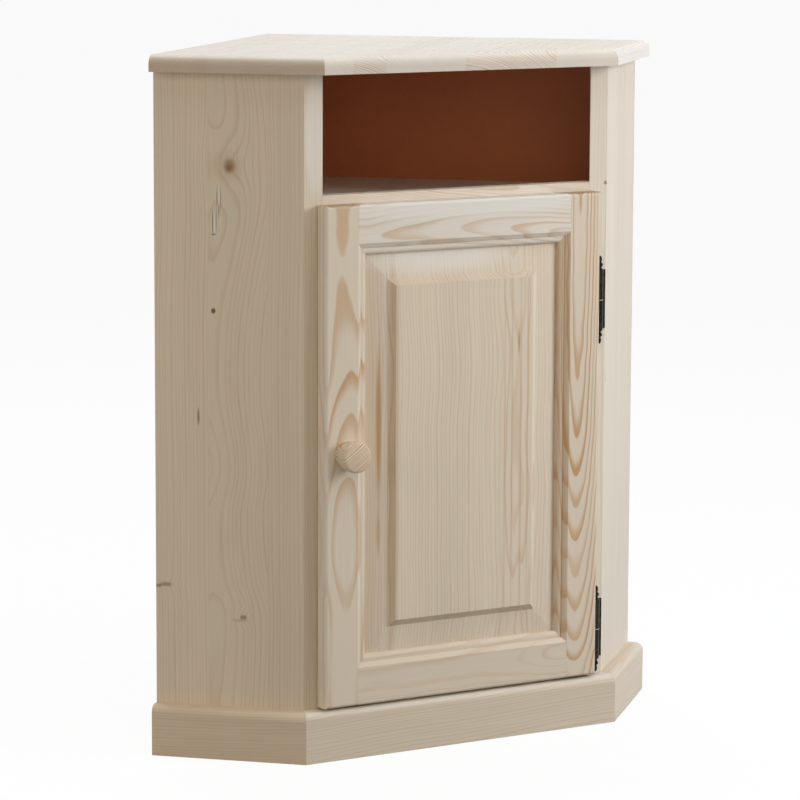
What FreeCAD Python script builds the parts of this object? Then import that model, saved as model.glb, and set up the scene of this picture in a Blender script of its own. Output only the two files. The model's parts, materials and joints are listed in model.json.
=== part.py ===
import FreeCAD, Part
import math
import operator
import os
from types import SimpleNamespace

import Sketcher

DOC = FreeCAD.newDocument("CornerCupboard")

# Driving sizes in millimetres

SIZES = {
    # Carcass: a front between two corners, and a return at 45 degrees on each side up to the wall
    "overall_height": 850,
    "front_width": 432,
    "return_width": 186,
    "board_thickness": 18,
    "joint_gap": 0.1,
    # Top
    "top_thickness": 20,
    "top_front_overhang": 34.5,
    "top_side_overhang": 18.5,
    "top_round": 12,
    # Plinth
    "plinth_height": 62,
    "plinth_thickness": 20.5,
    "plinth_round": 10,
    "block_leg": 30,
    # Hardboard backs and the post between them
    "back_thickness": 4,
    "back_lip": 8,
    "back_foot": 15,
    "post_width": 22,
    # Niche rail, shelves and their cleats
    "rail_top": 685,
    "rail_height": 45,
    "rail_lip": 20,
    "inner_shelf_top": 355,
    "inner_shelf_setback": 30,
    "cleat_width": 18,
    "cleat_setback": 4.5,
    "top_cleat_front": 64,
    "cleat_end": 12,
    # Dowels, screws and nails
    "dowel_radius": 4,
    "dowel_in_rail": 18,
    "dowel_in_panel": 12,
    "wood_screw_length": 30,
    "wood_screw_radius": 2,
    "wood_screw_head_radius": 4,
    "wood_screw_head_height": 2.5,
    "wood_screw_point": 4,
    "small_screw_length": 14,
    "small_screw_radius": 1.5,
    "small_screw_head_radius": 3,
    "small_screw_point": 3,
    "nail_length": 16,
    "nail_radius": 0.7,
    "nail_head_radius": 1.6,
    "nail_head_height": 0.8,
    "nail_point": 1.5,
    "nail_stagger": 12,
    # Door
    "door_left_margin": 18.4,
    "door_right_margin": 21.5,
    "door_lift": 3,
    "door_drop": 11,
    "door_gap": 1,
    "door_thickness": 20,
    "door_round": 4,
    "stile_width": 59,
    "door_rail_width": 61,
    "moulding_width": 14.5,
    "slope_width": 5.5,
    "slope_depth": 4,
    "quirk_depth": 1,
    "ovolo_flat": 0.5,
    "groove_front": 11.5,
    "groove_width": 4.5,
    "groove_depth": 12,
    # Raised panel
    "panel_play": 0.1,
    "panel_tongue": 11,
    "bevel_width": 31,
    "bevel_rise": 3.5,
    "shoulder_width": 8,
    "field_depth": 1.5,
    # Knob
    "knob_lift": 5,
    "knob_radius": 19,
    "knob_foot_radius": 16.5,
    "knob_length": 26,
    "knob_rim": 8,
    "knob_dome": 2,
    "knob_round": 3.5,
    "knob_swell": 9,
    "knob_screw_radius": 2,
    "knob_screw_head_radius": 4,
    "knob_screw_head_height": 2.2,
    "knob_screw_in_knob": 14,
    "knob_screw_play": 0.2,
    # Hinges
    "hinge_height": 74,
    "hinge_radius": 5.2,
    "hinge_play": 0.5,
    "hinge_edge": 1,
    "hinge_foot": 0.5,
    "upper_hinge_drop": 136,
    "leaf_thickness": 1.6,
    "washer_thickness": 0.8,
    "washer_radius": 5.4,
    "knuckle_gap": 0.3,
    "finial_height": 18,
    "pin_radius": 2.5,
    "pin_end": 3.5,
    "pin_play": 0.05,
    # Magnetic catch
    "catch_from_edge": 77,
    "catch_width": 28,
    "catch_height": 13,
    "catch_depth": 14,
    "catch_setback": 0.6,
    "ear_width": 9,
    "ear_thickness": 3,
    "magnet_width": 22,
    "magnet_height": 7,
    "magnet_proud": 0.2,
    "strike_width": 34,
    "strike_height": 11,
    "strike_thickness": 0.8,
}

# Places along a piece, as shares of its length

DOWEL_SHARES = (0.25, 0.75)
CLEAT_SCREW_SHARES = (0.3, 0.7)
SHELF_SCREW_SHARES = (0.12, 0.88)
PLINTH_SCREW_SHARES = (0.35, 0.8)
PLINTH_SCREW_HEIGHT_SHARE = 0.33
NAIL_SHARES = (0.04, 0.27, 0.5, 0.73, 0.94)
LEAF_SCREW_SHARES = (0.25, 0.75)
LEAF_SCREW_ACROSS_SHARE = 0.6
DOME_VIA_SHARES = (0.5, 0.75)

# Finial profile: radius as a share of the barrel's, height as a share of the finial's
FINIAL_SHARES = (
    (0.9, 0), (0.9, 0.06), (0.55, 0.18), (0.88, 0.36), (0.88, 0.44),
    (0.5, 0.56), (0.66, 0.7), (0.6, 0.9), (0.34, 1),
)

LEFT = -1
RIGHT = 1
UP = FreeCAD.Vector(0, 0, 1)
BACKWARD = FreeCAD.Vector(0, 1, 0)
FORWARD = FreeCAD.Vector(0, -1, 0)
LEFTWARD = FreeCAD.Vector(-1, 0, 0)
RIGHTWARD = FreeCAD.Vector(1, 0, 0)
FULL_TURN = 360
MATCH_TOLERANCE = 1e-4

# How a sketch numbers the ends of an edge, and its own origin
START = 1
END = 2
ORIGIN_POINT = (-1, 1)


# The sheet, and lengths that carry their sheet expression

SHEET = DOC.addObject("Spreadsheet::Sheet", "Sizes")
for row, (alias, number) in enumerate(SIZES.items(), 1):
    SHEET.set(f"A{row}", alias)
    SHEET.set(f"B{row}", str(number))
    SHEET.setAlias(f"B{row}", alias)
DOC.recompute()

OPERATIONS = {"+": operator.add, "-": operator.sub, "*": operator.mul, "/": operator.truediv}


class Length:
    """A number together with the sheet expression that gives it."""

    def __init__(self, number, text):
        self.number = number
        self.text = text

    def __add__(self, other):
        return combine(self, "+", other)

    def __sub__(self, other):
        return combine(self, "-", other)

    def __mul__(self, other):
        return combine(self, "*", other)

    def __rmul__(self, other):
        return combine(other, "*", self)

    def __truediv__(self, other):
        return combine(self, "/", other)

    def __neg__(self):
        return combine(0, "-", self)


def as_length(item):
    return item if isinstance(item, Length) else Length(item, str(item))


def combine(first, sign, second):
    first = as_length(first)
    second = as_length(second)
    number = OPERATIONS[sign](first.number, second.number)
    return Length(number, f"({first.text} {sign} {second.text})")


ZERO = Length(0, "0")
ROOT_TWO = Length(math.sqrt(2), "sqrt(2)")
size = SimpleNamespace(**{alias: Length(number, f"Sizes.{alias}") for alias, number in SIZES.items()})


# Derived places, from the middle of the carcass front at the floor, with the front facing -Y

half_front = size.front_width / 2
wall_corner = half_front + size.return_width * ROOT_TWO
corner_depth = size.return_width + size.front_width / ROOT_TWO
back_face = size.return_width - size.back_thickness
post_depth = corner_depth - size.back_thickness - size.post_width
post_run = back_face - size.post_width
mitre_slope = ROOT_TWO - 1

top_underside = size.overall_height - size.top_thickness
rail_bottom = size.rail_top - size.rail_height
niche_floor = size.rail_top - size.rail_lip
niche_shelf_underside = niche_floor - size.board_thickness
inner_shelf_underside = size.inner_shelf_top - size.board_thickness

door_left = size.door_left_margin - half_front
door_right = half_front - size.door_right_margin
door_bottom = size.plinth_height + size.door_lift
door_top = size.rail_top - size.door_drop
door_back = -size.door_gap
door_front = door_back - size.door_thickness
door_height = door_top - door_bottom
door_width = door_right - door_left
bead_depth = size.slope_depth + size.quirk_depth
ovolo_radius = size.groove_front - bead_depth - size.ovolo_flat

knob_x = door_left + size.stile_width / 2
knob_z = door_bottom + door_height / 2 + size.knob_lift
knob_face = door_front - size.knob_length

hinge_x = door_right + size.leaf_thickness + size.hinge_play + size.hinge_radius
hinge_y = -(size.leaf_thickness + size.hinge_play + size.hinge_radius)
hinge_half = size.hinge_height / 2
upper_hinge_z = door_top - size.upper_hinge_drop
lower_hinge_z = door_bottom + size.hinge_foot + size.finial_height + hinge_half
knuckle_end = (size.washer_thickness + size.knuckle_gap) / 2

catch_x = door_left + size.catch_from_edge

# Half way between the knob's face and the room corner: the part's origin lies there
middle = (wall_corner + knob_face - size.knob_dome) / 2


# Helpers for drawing and placing

NODES = []


def tie(item, path, length):
    item.setExpression(path, as_length(length).text)


def settle(item, x=ZERO, y=ZERO, z=ZERO, rotation=None):
    """Place an item at a point given from the middle of the carcass front at the floor."""
    if rotation is not None:
        item.Placement = FreeCAD.Placement(FreeCAD.Vector(), rotation)
    tie(item, "Placement.Base.x", x)
    tie(item, "Placement.Base.y", y - middle)
    tie(item, "Placement.Base.z", z)


def keep(item, name):
    """Mark a finished sub-part: its label names its file."""
    item.Label = name
    NODES.append(item)
    return item


def new_body(name, **place):
    body = DOC.addObject("PartDesign::Body", name)
    settle(body, **place)
    return body


def vector(point):
    return FreeCAD.Vector(*(as_length(part).number for part in point))


def turned_to(direction):
    return FreeCAD.Rotation(UP, direction)


def spot(side, run, depth):
    """Plan point a run back along a return from its front corner, and a depth in from its outer face."""
    return side * (half_front + (run - depth) / ROOT_TWO), (run + depth) / ROOT_TWO


def inward(side):
    """Direction square to a return, from its outer face into the cupboard."""
    return FreeCAD.Vector(-side, 1, 0)


def outline(body, role, points, name="Outline", offset=ZERO, bends=None):
    """Closed outline whose corners are tied to the sheet; a bend makes the edge after a corner an arc."""
    bends = bends or {}
    sketch = body.newObject("Sketcher::SketchObject", name)
    plane = next(item for item in body.Origin.OriginFeatures if item.Role == role)
    sketch.AttachmentSupport = [(plane, "")]
    sketch.MapMode = "FlatFace"
    tie(sketch, "AttachmentOffset.Base.z", offset)
    corners = [vector(point) for point in points]
    ends = []
    for index, corner in enumerate(corners):
        following = corners[(index + 1) % len(corners)]
        if index in bends:
            arc = Part.Arc(corner, vector(bends[index][1]), following)
            edge = sketch.addGeometry(arc, False)
            forward = sketch.Geometry[edge].StartPoint.isEqual(corner, MATCH_TOLERANCE)
            ends.append((START, END) if forward else (END, START))
        else:
            sketch.addGeometry(Part.LineSegment(corner, following), False)
            ends.append((START, END))
    for index in range(len(corners)):
        following = (index + 1) % len(corners)
        joint = (index, ends[index][1], following, ends[following][0])
        sketch.addConstraint(Sketcher.Constraint("Coincident", *joint))
    for index, (x, y) in enumerate(points):
        for kind, length in (("DistanceX", as_length(x)), ("DistanceY", as_length(y))):
            rule = Sketcher.Constraint(kind, *ORIGIN_POINT, index, ends[index][0], length.number)
            tie(sketch, f"Constraints[{sketch.addConstraint(rule)}]", length)
    for index, (radius, _) in bends.items():
        rule = Sketcher.Constraint("Radius", index, radius.number)
        tie(sketch, f"Constraints[{sketch.addConstraint(rule)}]", radius)
    return sketch


def pad(body, sketch, length, name="Pad"):
    feature = body.newObject("PartDesign::Pad", name)
    feature.Profile = sketch
    tie(feature, "Length", length)
    return feature


def board(name, points, bottom, thickness):
    """Board drawn in plan and padded upwards."""
    body = new_body(name, z=bottom)
    pad(body, outline(body, "XY_Plane", points), thickness)
    return body


def turned(name, profile, bends=None, **place):
    """Turned piece: a half profile, as radius and height, turned about its height."""
    body = new_body(name, **place)
    sketch = outline(body, "XZ_Plane", profile, bends=bends)
    feature = body.newObject("PartDesign::Revolution", "Turning")
    feature.Profile = sketch
    feature.ReferenceAxis = (sketch, ["V_Axis"])
    feature.Angle = FULL_TURN
    return body


def ease(body, radius, chosen, name="Rounding"):
    """Round the edges of a body's last feature that the test picks."""
    DOC.recompute()
    base = body.Tip
    edges = [f"Edge{number}" for number, edge in enumerate(base.Shape.Edges, 1) if chosen(edge)]
    feature = body.newObject("PartDesign::Fillet", name)
    feature.Base = (base, edges)
    tie(feature, "Radius", radius)
    return feature


def joins(*pairs):
    """Test for an edge that runs between the two points of one of the pairs."""
    wanted = [[vector(point) for point in pair] for pair in pairs]

    def test(edge):
        ends = [vertex.Point for vertex in edge.Vertexes]
        return any(
            all(any(end.isEqual(point, MATCH_TOLERANCE) for end in ends) for point in pair)
            for pair in wanted
        )

    return test


def ring_at(height, radius):
    """Test for a round edge of a turned piece at a height and radius."""

    def test(edge):
        same_height = abs(edge.CenterOfMass.z - height.number) < MATCH_TOLERANCE
        same_radius = abs(edge.BoundBox.XLength / 2 - radius.number) < MATCH_TOLERANCE
        return same_height and same_radius

    return test


def box(name, low, high):
    """Block between two corners."""
    item = DOC.addObject("Part::Box", name)
    for side, first, second in zip(("Length", "Width", "Height"), low, high):
        tie(item, side, second - first)
    settle(item, *low)
    return item


def cylinder(name, radius, length, start, direction=UP):
    item = DOC.addObject("Part::Cylinder", name)
    tie(item, "Radius", radius)
    tie(item, "Height", length)
    settle(item, *start, rotation=turned_to(direction))
    return item


def countersink(name, start, direction, depth, head_height):
    """Cone that a small screw's head sits in, from the surface down to a depth."""
    taper = (size.small_screw_head_radius - size.small_screw_radius) / head_height
    item = DOC.addObject("Part::Cone", name)
    tie(item, "Radius1", size.small_screw_head_radius + size.joint_gap)
    tie(item, "Radius2", size.small_screw_head_radius + size.joint_gap - taper * depth)
    tie(item, "Height", depth)
    settle(item, *start, rotation=turned_to(direction))
    return item


def together(name, items):
    """Several separate solids as one group."""
    group = DOC.addObject("Part::Compound", name)
    group.Links = items
    return group


def fused(name, items):
    feature = DOC.addObject("Part::MultiFuse", name)
    feature.Shapes = items
    return feature


def cut(name, base, tools):
    feature = DOC.addObject("Part::Cut", name)
    feature.Base = base
    feature.Tool = tools[0] if len(tools) == 1 else together(f"{name}_tools", tools)
    return feature


def copies(name, pattern, places):
    """Group of copies of one fastener: each place is a head point and the direction it is driven in."""
    links = []
    for number, (x, y, z, direction) in enumerate(places, 1):
        link = DOC.addObject("App::Link", f"{name}_{number}")
        link.LinkedObject = pattern
        link.LinkTransform = False
        settle(link, x, y, z, rotation=turned_to(direction))
        links.append(link)
    return keep(together(name, links), name)


def flat_head_screw(name, length, radius, head_radius, head_height, point):
    """Screw with its head's face at zero, driven upwards."""
    profile = [
        (ZERO, ZERO), (head_radius, ZERO), (radius, head_height),
        (radius, length - point), (ZERO, length),
    ]
    return turned(name, profile)


# Fastener patterns

wood_screw = flat_head_screw(
    "wood_screw", size.wood_screw_length, size.wood_screw_radius,
    size.wood_screw_head_radius, size.wood_screw_head_height, size.wood_screw_point,
)
small_screw = flat_head_screw(
    "small_screw", size.small_screw_length, size.small_screw_radius,
    size.small_screw_head_radius, size.leaf_thickness, size.small_screw_point,
)
nail = turned("nail", [
    (ZERO, ZERO), (size.nail_head_radius, ZERO), (size.nail_head_radius, size.nail_head_height),
    (size.nail_radius, size.nail_head_height), (size.nail_radius, size.nail_length - size.nail_point),
    (ZERO, size.nail_length),
])


# Side panels and the niche rail between them, joined by dowels

SIDES = (("left", LEFT), ("right", RIGHT))


def dowel_places():
    """Side, start point and driving direction of each dowel, from the rail out into a side panel."""
    depth_y = size.board_thickness / 2
    face_x = half_front - size.board_thickness * ROOT_TWO + depth_y
    for _, side in SIDES:
        for share in DOWEL_SHARES:
            start_x = side * (face_x - size.dowel_in_rail)
            level = rail_bottom + size.rail_height * share
            yield side, (start_x, depth_y, level), RIGHTWARD if side == RIGHT else LEFTWARD


dowel_length = size.dowel_in_rail + size.dowel_in_panel
dowels = []
dowel_holes = {LEFT: [], RIGHT: []}
for number, (side, start, direction) in enumerate(dowel_places(), 1):
    dowels.append(cylinder(f"dowel_{number}", size.dowel_radius, dowel_length, start, direction))
    hole_start = (start[0] - side * size.joint_gap, *start[1:])
    hole = cylinder(
        f"dowel_hole_{number}", size.dowel_radius + size.joint_gap,
        dowel_length + size.joint_gap * 2, hole_start, direction,
    )
    dowel_holes[side].append(hole)
keep(together("rail_dowels", dowels), "rail_dowels")

for word, side in SIDES:
    thickness = size.board_thickness
    blank = board(f"{word}_side_blank", [
        spot(side, ZERO, ZERO),
        spot(side, size.return_width, ZERO),
        spot(side, size.return_width, size.back_lip),
        spot(side, back_face, size.back_lip),
        spot(side, back_face, thickness),
        spot(side, -thickness, thickness),
    ], ZERO, top_underside)
    name = f"{word}_side_panel"
    keep(cut(name, blank, dowel_holes[side]), name)

rail_inset = size.board_thickness + size.joint_gap
rail_back_run = size.board_thickness * ROOT_TWO - rail_inset
rail_blank = board("niche_rail_blank", [
    spot(LEFT, -rail_inset, rail_inset),
    spot(RIGHT, -rail_inset, rail_inset),
    spot(RIGHT, rail_back_run, rail_inset),
    spot(LEFT, rail_back_run, rail_inset),
], rail_bottom, size.rail_height)
keep(cut("niche_rail", rail_blank, dowel_holes[LEFT] + dowel_holes[RIGHT]), "niche_rail")


# Top

top_reach = half_front + size.top_side_overhang * ROOT_TWO - size.top_front_overhang
top_corners = [
    spot(LEFT, size.return_width, -size.top_side_overhang),
    (-top_reach, -size.top_front_overhang),
    (top_reach, -size.top_front_overhang),
    spot(RIGHT, size.return_width, -size.top_side_overhang),
    (ZERO, wall_corner),
]
top_board = board("top_board", top_corners, top_underside, size.top_thickness)
top_rim = [(*corner, size.top_thickness) for corner in top_corners[:-1]]
ease(top_board, size.top_round, joins(*zip(top_rim, top_rim[1:])))
keep(top_board, "top_board")


# Plinth: three boards mitred at the front corners, rounded on their upper outer edge

plinth_reach = half_front + size.plinth_thickness * mitre_slope
plinth_front = board("plinth_front", [
    (-half_front, ZERO), (-plinth_reach, -size.plinth_thickness),
    (plinth_reach, -size.plinth_thickness), (half_front, ZERO),
], ZERO, size.plinth_height)
ease(plinth_front, size.plinth_round, joins((
    (-plinth_reach, -size.plinth_thickness, size.plinth_height),
    (plinth_reach, -size.plinth_thickness, size.plinth_height),
)))
keep(plinth_front, "plinth_front")

block_end = size.block_leg - size.board_thickness
blocks = []
for word, side in SIDES:
    outer_front = spot(side, -size.plinth_thickness * mitre_slope, -size.plinth_thickness)
    outer_back = spot(side, size.return_width, -size.plinth_thickness)
    plinth_return = board(f"plinth_{word}", [
        spot(side, ZERO, ZERO), spot(side, size.return_width, ZERO), outer_back, outer_front,
    ], ZERO, size.plinth_height)
    rim = ((*outer_front, size.plinth_height), (*outer_back, size.plinth_height))
    ease(plinth_return, size.plinth_round, joins(rim))
    keep(plinth_return, f"plinth_{word}")

    # Glue block in the corner behind the front plinth, under the bottom board
    corner_x, corner_y = spot(side, size.joint_gap * ROOT_TWO - size.board_thickness, size.board_thickness)
    blocks.append(board(f"{word}_corner_block", [
        (corner_x, corner_y),
        spot(side, block_end, size.board_thickness),
        (corner_x - side * size.block_leg, corner_y),
    ], ZERO, size.plinth_height - size.joint_gap))
keep(together("plinth_corner_blocks", blocks), "plinth_corner_blocks")


# Hardboard backs, nailed to the side panels and to the corner post

back_height = top_underside - size.back_foot
back_ends = {LEFT: corner_depth, RIGHT: corner_depth - size.back_thickness - size.joint_gap}
for word, side in SIDES:
    near_edge = size.back_lip + size.joint_gap
    back_panel = board(f"{word}_back_panel", [
        spot(side, back_face, near_edge),
        spot(side, size.return_width, near_edge),
        spot(side, size.return_width, back_ends[side]),
        spot(side, back_face, back_ends[side]),
    ], size.back_foot, back_height)
    keep(back_panel, f"{word}_back_panel")

post_far = post_depth + size.post_width
keep(board("back_corner_post", [
    spot(LEFT, post_run, post_depth),
    spot(LEFT, back_face, post_depth),
    spot(LEFT, back_face, post_far),
    spot(LEFT, post_run, post_far),
], ZERO, top_underside), "back_corner_post")


def nail_places():
    """Nails through each hardboard back into its side panel and into the corner post."""
    panel_line = (size.back_lip + size.board_thickness) / 2
    post_line = post_depth + size.post_width / 2
    for _, side in SIDES:
        lift = size.nail_stagger if side == RIGHT else ZERO
        for depth in (panel_line, post_line):
            for share in NAIL_SHARES:
                level = size.back_foot + back_height * share + lift
                yield *spot(side, size.return_width, depth), level, FreeCAD.Vector(-side, -1, 0)


copies("back_panel_nails", nail, nail_places())


# Bottom board and shelves

def shelf_outline(front):
    """Shelf between the side panels, from a front line back to the hardboard, notched for the post."""
    inset = size.board_thickness + size.joint_gap
    far = back_face - size.joint_gap
    notch_depth = post_depth - size.joint_gap
    front_run = front * ROOT_TWO - inset
    half = {}
    for _, side in SIDES:
        half[side] = [spot(side, front_run, inset), spot(side, far, inset), spot(side, far, notch_depth)]
    notch = (ZERO, spot(LEFT, post_run - size.joint_gap, notch_depth)[1])
    return half[LEFT] + [notch] + half[RIGHT][::-1]


niche_shelf_front = size.board_thickness + size.joint_gap
SHELVES = (
    ("bottom_board", ZERO, size.plinth_height),
    ("inner_shelf", size.inner_shelf_setback, inner_shelf_underside),
    ("niche_shelf", niche_shelf_front, niche_shelf_underside),
)
for name, front, underside in SHELVES:
    keep(board(name, shelf_outline(front), underside, size.board_thickness), name)


# Cleats and the screws through them

def run_behind(front):
    """Run at which a cleat starts, set back from the front line of the shelf that it carries."""
    return front * ROOT_TWO - size.board_thickness + size.cleat_setback


# The underside that each pair of cleats carries, and the run at which the pair starts:
# the top ones stay out of sight in the niche, the bottom ones start behind the glue blocks
CLEATS = (
    ("top", top_underside, size.top_cleat_front),
    ("niche", niche_shelf_underside, run_behind(niche_shelf_front)),
    ("inner", inner_shelf_underside, run_behind(size.inner_shelf_setback)),
    ("bottom", size.plinth_height, block_end + size.joint_gap),
)
cleat_back = back_face - size.cleat_end
cleat_face = size.board_thickness + size.cleat_width
cleat_middle = size.board_thickness + size.cleat_width / 2

for role, level, front in CLEATS:
    for word, side in SIDES:
        keep(board(f"{word}_{role}_cleat", [
            spot(side, front, size.board_thickness),
            spot(side, cleat_back, size.board_thickness),
            spot(side, cleat_back, cleat_face),
            spot(side, front, cleat_face),
        ], level - size.cleat_width, size.cleat_width), f"{word}_{role}_cleat")


def cleat_screw_places():
    """Screws from each cleat's face out into its side panel."""
    for _, level, front in CLEATS:
        for _, side in SIDES:
            for share in CLEAT_SCREW_SHARES:
                run = front + (cleat_back - front) * share
                yield *spot(side, run, cleat_face), level - size.cleat_width / 2, -inward(side)


def lifting_screw_places(roles):
    """Screws from under a cleat up into the board that lies on it."""
    for role, level, front in CLEATS:
        if role not in roles:
            continue
        for _, side in SIDES:
            for share in SHELF_SCREW_SHARES:
                run = front + (cleat_back - front) * share
                yield *spot(side, run, cleat_middle), level - size.cleat_width, UP


def plinth_screw_places():
    """Screws from inside each side panel out into its plinth board."""
    for _, side in SIDES:
        for share in PLINTH_SCREW_SHARES:
            run = size.return_width * share
            level = size.plinth_height * PLINTH_SCREW_HEIGHT_SHARE
            yield *spot(side, run, size.board_thickness), level, -inward(side)


copies("cleat_screws", wood_screw, cleat_screw_places())
copies("shelf_screws", wood_screw, lifting_screw_places(("niche", "bottom")))
copies("top_screws", wood_screw, lifting_screw_places(("top",)))
copies("plinth_screws", wood_screw, plinth_screw_places())


# Door frame: one moulded section for stiles and rails

def frame_section(width):
    """Section as distance from the outer edge and depth from the front: slope, quirk, bead, groove, lip."""
    flat_end = width - size.moulding_width
    slope_end = flat_end + size.slope_width
    groove_floor = width - size.groove_depth
    groove_back = size.groove_front + size.groove_width
    return [
        (ZERO, ZERO), (flat_end, ZERO), (slope_end, size.slope_depth), (slope_end, bead_depth),
        (width, bead_depth),
        (width, size.groove_front), (groove_floor, size.groove_front), (groove_floor, groove_back),
        (width, groove_back), (width, size.door_thickness), (ZERO, size.door_thickness),
    ]


def stile(name, outer_edge, sign):
    """Upright, with its outer edge at a place and its moulding on the side that the sign points to."""
    body = new_body(name, z=door_bottom)
    section = frame_section(size.stile_width)
    points = [(outer_edge + sign * across, door_front + depth) for across, depth in section]
    pad(body, outline(body, "XY_Plane", points), door_height)
    outer, flat_end, _, _, bead = points[:5]
    ease(body, ovolo_radius, joins(((*bead, ZERO), (*bead, door_height))), "Ovolo")
    ease(body, size.door_round, joins(
        ((*outer, ZERO), (*outer, door_height)),
        ((*outer, ZERO), (*flat_end, ZERO)),
        ((*outer, door_height), (*flat_end, door_height)),
    ), "Ease")
    return body


left_stile = stile("left_stile_blank", door_left, RIGHT)
right_stile = stile("door_right_stile", door_right, LEFT)
keep(right_stile, "door_right_stile")

stile_flat = size.stile_width - size.moulding_width
rail_length = door_width - stile_flat * 2


def door_rail(name, outer_edge, sign):
    """Cross rail with stub tenons, coped over the stiles' moulding."""
    body = new_body(f"{name}_blank", x=door_left + stile_flat)
    section = frame_section(size.door_rail_width)
    points = [(door_front + depth, outer_edge + sign * across) for across, depth in section]
    pad(body, outline(body, "YZ_Plane", points), rail_length)
    outer, bead = points[0], points[4]
    ease(body, ovolo_radius, joins(((ZERO, *bead), (rail_length, *bead))), "Ovolo")
    ease(body, size.door_round, joins(((ZERO, *outer), (rail_length, *outer))), "Ease")
    return keep(cut(name, body, [left_stile, right_stile]), name)


door_rail("door_top_rail", door_top, LEFT)
door_rail("door_bottom_rail", door_bottom, RIGHT)

knob_hole = cylinder(
    "knob_hole", size.knob_screw_radius + size.knob_screw_play, size.door_thickness,
    (knob_x, door_back, knob_z), FORWARD,
)
keep(cut("door_left_stile", left_stile, [knob_hole]), "door_left_stile")


# Raised panel, loose in the grooves

def panel_rim(inset):
    """Rectangle inside the frame's sight edge by an inset, seen from the front."""
    left = door_left + size.stile_width + inset
    right = door_right - size.stile_width - inset
    low = door_bottom + size.door_rail_width + inset
    high = door_top - size.door_rail_width - inset
    return [(left, low), (right, low), (right, high), (left, high)]


def panel_slope(name, foot_inset, foot_front, head_inset, head_front):
    """Slope on all four sides of the panel, from a rim further back to a smaller one further forward."""
    slope = panel.newObject("PartDesign::AdditiveLoft", name)
    slope.Profile = outline(panel, "XZ_Plane", panel_rim(foot_inset), f"{name}Foot", -foot_front)
    slope.Sections = [outline(panel, "XZ_Plane", panel_rim(head_inset), f"{name}Head", -head_front)]
    slope.Ruled = True


panel = new_body("door_panel")
tongue_back = door_front + size.groove_front + size.groove_width - size.panel_play
tongue_front = door_front + size.groove_front + size.panel_play
bevel_front = tongue_front - size.bevel_rise
field_front = door_front + size.field_depth
tongue = outline(panel, "XZ_Plane", panel_rim(-size.panel_tongue), "Tongue", -tongue_back)
pad(panel, tongue, tongue_back - tongue_front, "TonguePad")
panel_slope("Bevel", ZERO, tongue_front, size.bevel_width, bevel_front)
panel_slope("Shoulder", size.bevel_width, bevel_front, size.bevel_width + size.shoulder_width, field_front)
keep(panel, "door_panel")


# Knob and its screw

knob_top = size.knob_length + size.knob_dome
dome_radius = (size.knob_radius * size.knob_radius + size.knob_dome * size.knob_dome) / (size.knob_dome * 2)
dome_via = (
    size.knob_radius * DOME_VIA_SHARES[0],
    size.knob_length + size.knob_dome * DOME_VIA_SHARES[1],
)
swell_height = size.knob_length - size.knob_rim
knob_profile = [
    (ZERO, ZERO),
    (size.knob_foot_radius, ZERO),
    (size.knob_radius, swell_height),
    (size.knob_radius, size.knob_length),
    (ZERO, knob_top),
]
dome_bend = {knob_profile.index((size.knob_radius, size.knob_length)): (dome_radius, dome_via)}
knob_blank = turned(
    "door_knob_blank", knob_profile, dome_bend,
    x=knob_x, y=door_front, z=knob_z, rotation=turned_to(FORWARD),
)
ease(knob_blank, size.knob_swell, ring_at(swell_height, size.knob_radius), "Swell")
ease(knob_blank, size.knob_round, ring_at(size.knob_length, size.knob_radius), "Rim")
knob_bore = cylinder(
    "knob_bore", size.knob_screw_radius + size.joint_gap, size.knob_screw_in_knob + size.joint_gap,
    (knob_x, door_front, knob_z), FORWARD,
)
keep(cut("door_knob", knob_blank, [knob_bore]), "door_knob")

knob_screw_end = size.knob_screw_head_height + size.door_thickness + size.knob_screw_in_knob
keep(turned("knob_screw", [
    (ZERO, ZERO),
    (size.knob_screw_head_radius, ZERO),
    (size.knob_screw_head_radius, size.knob_screw_head_height),
    (size.knob_screw_radius, size.knob_screw_head_height),
    (size.knob_screw_radius, knob_screw_end),
    (ZERO, knob_screw_end),
], x=knob_x, y=door_back + size.knob_screw_head_height, z=knob_z, rotation=turned_to(FORWARD)), "knob_screw")


# Hinges: the frame leaf carries the lower knuckle and the pin, the door leaf the upper knuckle

leaf_left = door_right + size.hinge_play
leaf_right = half_front - size.hinge_edge
frame_screw_x = leaf_left + (leaf_right - leaf_left) * LEAF_SCREW_ACROSS_SHARE
door_leaf_front = door_front + size.door_round
door_leaf_back = -(size.leaf_thickness + size.hinge_play)
door_screw_y = (door_leaf_front + door_leaf_back) / 2
leaf_surface_x = door_right + size.leaf_thickness
finial_profile = [(ZERO, ZERO)]
finial_profile += [(size.hinge_radius * wide, size.finial_height * high) for wide, high in FINIAL_SHARES]
finial_profile += [(ZERO, size.finial_height)]
pin_half = hinge_half - size.pin_end


def hinge_bore(name, level):
    """Bore for the pin through both knuckles, closed at the finials."""
    return cylinder(
        name, size.pin_radius + size.pin_play, (pin_half + size.joint_gap) * 2,
        (hinge_x, hinge_y, level - pin_half - size.joint_gap),
    )


def frame_screw_places(level):
    """Screws above the frame leaf's knuckle, where they can be reached with the door lifted off."""
    for share in LEAF_SCREW_SHARES:
        yield frame_screw_x, -size.leaf_thickness, level + hinge_half * share, BACKWARD


def door_screw_places(level):
    """Screws below the door leaf's knuckle."""
    for share in LEAF_SCREW_SHARES:
        yield leaf_surface_x, door_screw_y, level - hinge_half * share, LEFTWARD


def leaf(name, pieces, level, places):
    """Leaf, web, knuckle and finial in one, bored for the pin and countersunk for its screws."""
    tools = [hinge_bore(f"{name}_bore", level)]
    for number, (*start, direction) in enumerate(places, 1):
        sink = f"{name}_sink_{number}"
        tools.append(countersink(sink, start, direction, size.leaf_thickness, size.leaf_thickness))
    return keep(cut(name, fused(f"{name}_blank", pieces), tools), name)


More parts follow.
